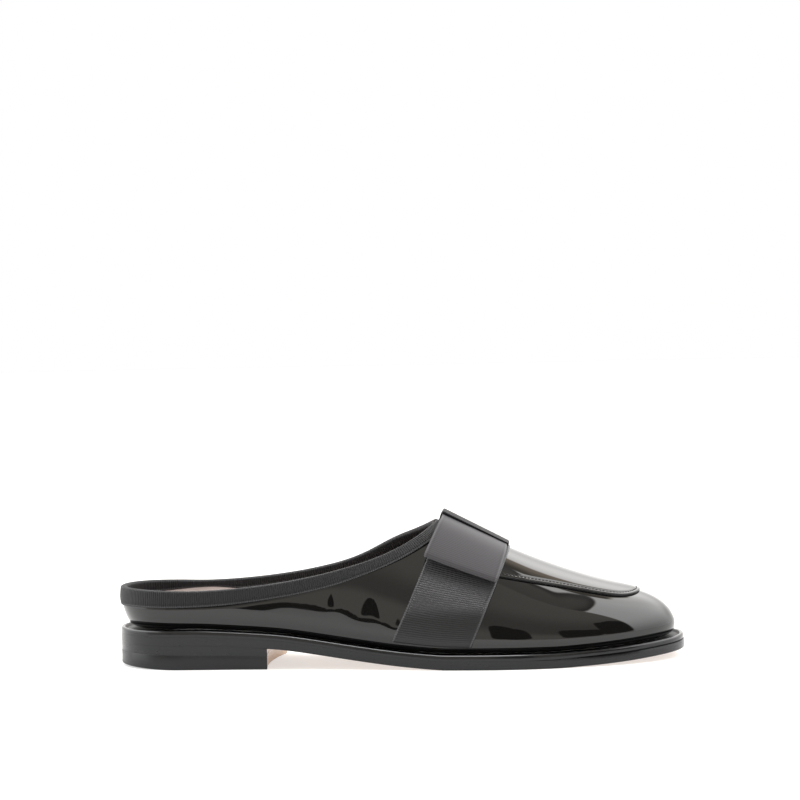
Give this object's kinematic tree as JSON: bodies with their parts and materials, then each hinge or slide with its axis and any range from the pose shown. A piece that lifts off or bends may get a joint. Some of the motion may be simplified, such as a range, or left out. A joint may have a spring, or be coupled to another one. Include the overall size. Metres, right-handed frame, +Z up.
{
  "type": "slip-on shoe",
  "caption": "Low-backed slip-on shoe in black patent leather with an apron front, a ribbed ribbon strap with a flat bow, a taped collar edge and a low heel.",
  "frame": {"origin": "centre of the bounding box at floor level", "axes": "+X from heel to toe, +Y to the medial (inner) side, +Z up"},
  "size_m": [0.2606, 0.0854, 0.0683],
  "materials": {
    "patent_leather": "high-gloss lacquered",
    "sole_leather": "black burnished edge, natural underside",
    "rubber": "matt",
    "lining_leather": "smooth, pale pinkish grey",
    "grosgrain": "fine cross ribs, slight sheen"
  },
  "bodies": {
    "root": {"outsole": "sole_leather", "heel_block": "sole_leather", "top_lift": "rubber", "welt": "sole_leather", "upper": "patent_leather", "insole": "lining_leather", "apron": "patent_leather", "topline_binding": "grosgrain", "vamp_strap": "grosgrain", "bow_loops": "grosgrain", "bow_knot": "grosgrain"}
  },
  "joints": []
}
